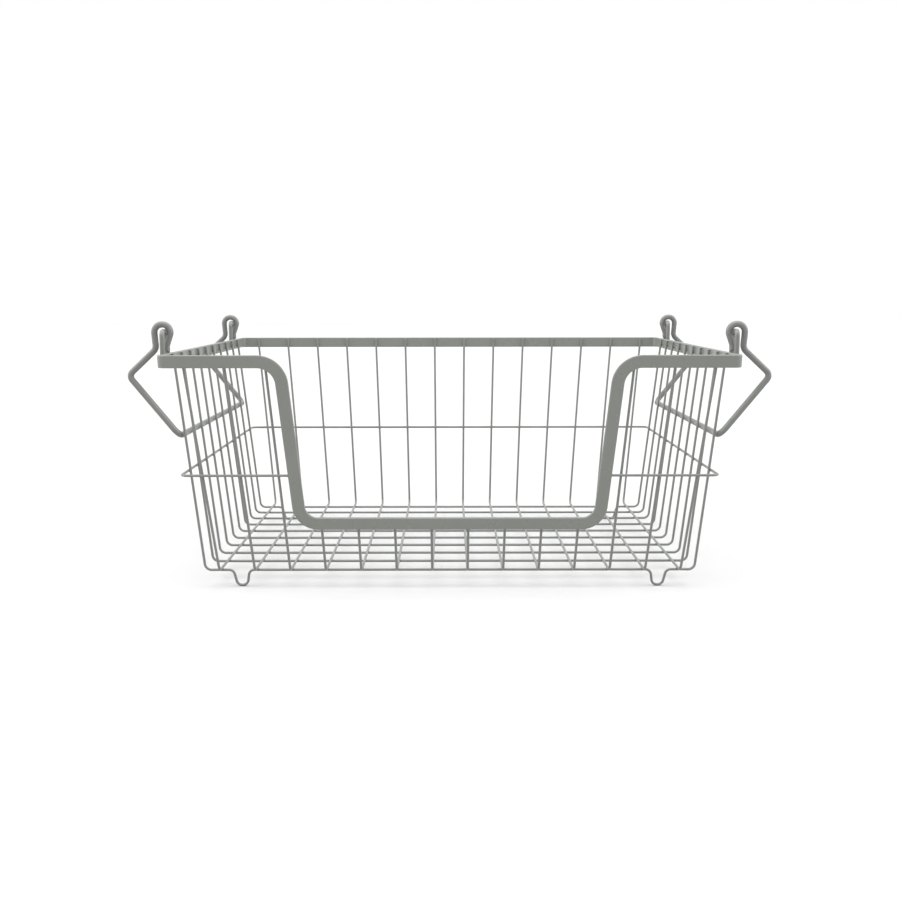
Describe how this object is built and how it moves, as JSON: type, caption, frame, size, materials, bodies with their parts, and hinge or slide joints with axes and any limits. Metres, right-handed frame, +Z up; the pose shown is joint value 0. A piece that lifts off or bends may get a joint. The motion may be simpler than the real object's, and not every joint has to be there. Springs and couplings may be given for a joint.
{
  "type": "wire locker basket",
  "caption": "Stackable tapered wire basket with a scooped front, swinging side handles and small bent-wire feet.",
  "frame": {"origin": "on the ground under the middle of the basket, which is the bottom centre of its bounding box", "axes": "+X to the right as the scooped front is faced, +Y from the scooped front to the back, +Z up"},
  "size_m": [0.5632, 0.3658, 0.2377],
  "materials": {
    "powder_coat": "satin sage grey powder coat"
  },
  "bodies": {
    "basket": {"rim_band": "powder_coat", "cross_wire_1": "powder_coat", "cross_wire_2": "powder_coat", "cross_wire_3": "powder_coat", "cross_wire_4": "powder_coat", "cross_wire_5": "powder_coat", "cross_wire_6": "powder_coat", "cross_wire_7": "powder_coat", "cross_wire_8": "powder_coat", "cross_wire_9": "powder_coat", "cross_wire_10": "powder_coat", "long_wire_1": "powder_coat", "long_wire_2": "powder_coat", "long_wire_3": "powder_coat", "long_wire_4": "powder_coat", "long_wire_5": "powder_coat", "long_wire_6": "powder_coat", "long_wire_7": "powder_coat", "long_wire_8": "powder_coat", "long_wire_9": "powder_coat", "long_wire_10": "powder_coat", "long_wire_11": "powder_coat", "long_wire_12": "powder_coat", "long_wire_13": "powder_coat", "long_wire_14": "powder_coat", "mid_hoop": "powder_coat", "staple_front_left": "powder_coat", "staple_rear_left": "powder_coat", "staple_front_right": "powder_coat", "staple_rear_right": "powder_coat"},
    "left_handle": {"left_handle": "powder_coat"},
    "right_handle": {"right_handle": "powder_coat"}
  },
  "joints": [
    {"name": "left_handle_hinge", "type": "hinge", "parent": "basket", "child": "left_handle", "pos_m": [-0.24815, 0, 0.2289], "axis": [0, 1, 0], "range_deg": [0, 302]},
    {"name": "right_handle_hinge", "type": "hinge", "parent": "basket", "child": "right_handle", "pos_m": [0.24815, 0, 0.2289], "axis": [0, -1, 0], "range_deg": [0, 302]}
  ]
}
